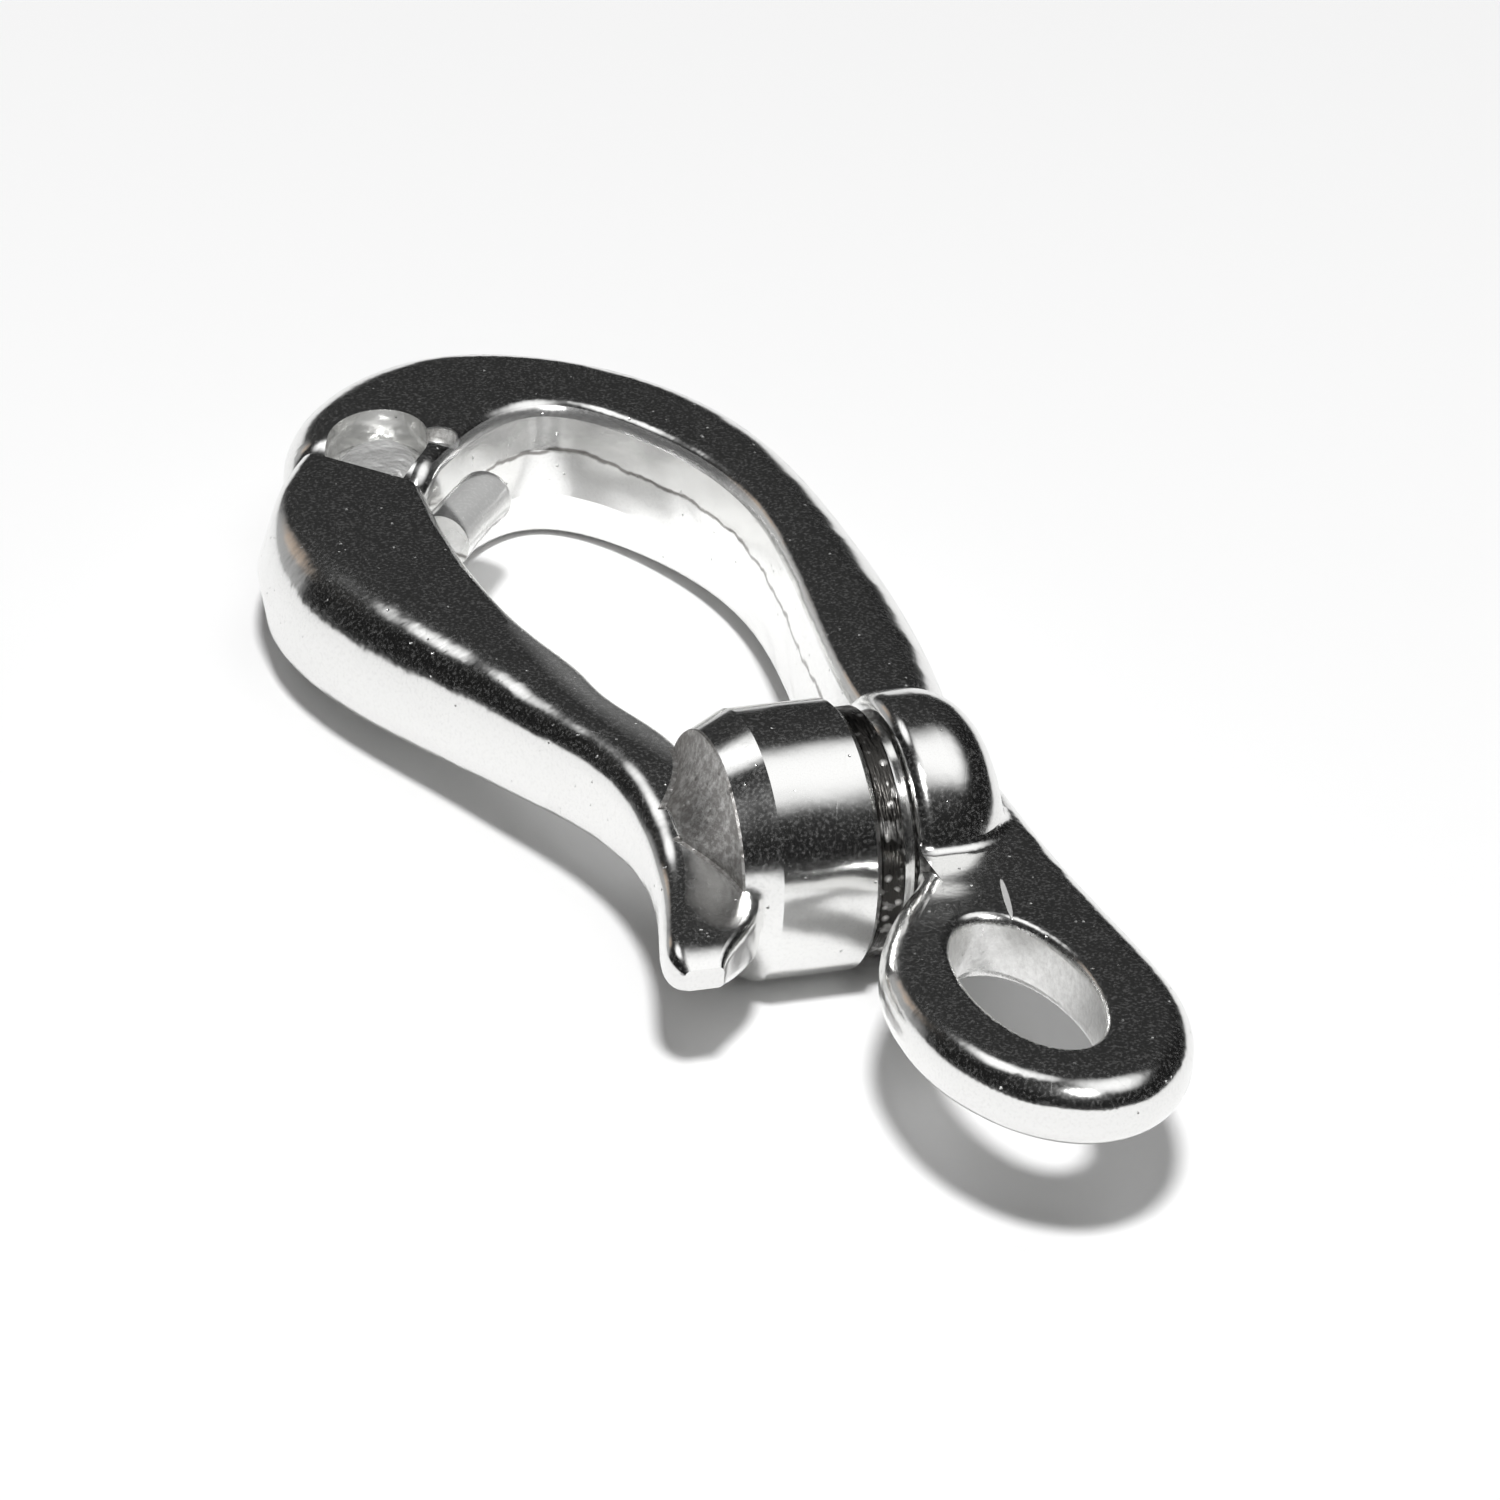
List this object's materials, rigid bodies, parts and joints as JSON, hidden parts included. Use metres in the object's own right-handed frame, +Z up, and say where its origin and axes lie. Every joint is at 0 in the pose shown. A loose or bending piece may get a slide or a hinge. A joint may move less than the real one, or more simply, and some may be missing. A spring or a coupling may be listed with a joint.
{
  "type": "bow shackle",
  "caption": "Quick-release bow shackle: a cast body with a fixed eye, and a sprung gate with a thumb tail that swings up to open the bow.",
  "frame": {"origin": "centre of the fixed eye, at mid-thickness", "axes": "+Y from the fixed eye to the bow, +X along the pivot from the gate's barrel to the body's, +Z up off the flat of the bow, on the side the gate opens to"},
  "size_m": [0.0284, 0.0785, 0.0124],
  "materials": {
    "cast_steel": "mirror-polished casting",
    "ring_steel": "as turned, unpolished",
    "pin_steel": "ground",
    "bush_bronze": "sintered bronze",
    "spring_steel": "drawn wire"
  },
  "bodies": {
    "shackle_body": {"body": "cast_steel", "pivot_bush": "bush_bronze", "thrust_ring": "ring_steel", "retaining_dowel": "pin_steel", "torsion_spring": "spring_steel"},
    "swing_gate": {"gate": "cast_steel", "pivot_pin": "pin_steel"}
  },
  "joints": [
    {"name": "gate_swing", "type": "hinge", "parent": "shackle_body", "child": "swing_gate", "pos_m": [-0.0014, 0.0183, 0], "axis": [1, 0, 0], "range_deg": [0, 75], "stiffness_Nm_per_rad": 0.045, "springref_deg": -28.65, "deforming": ["torsion_spring"]}
  ]
}
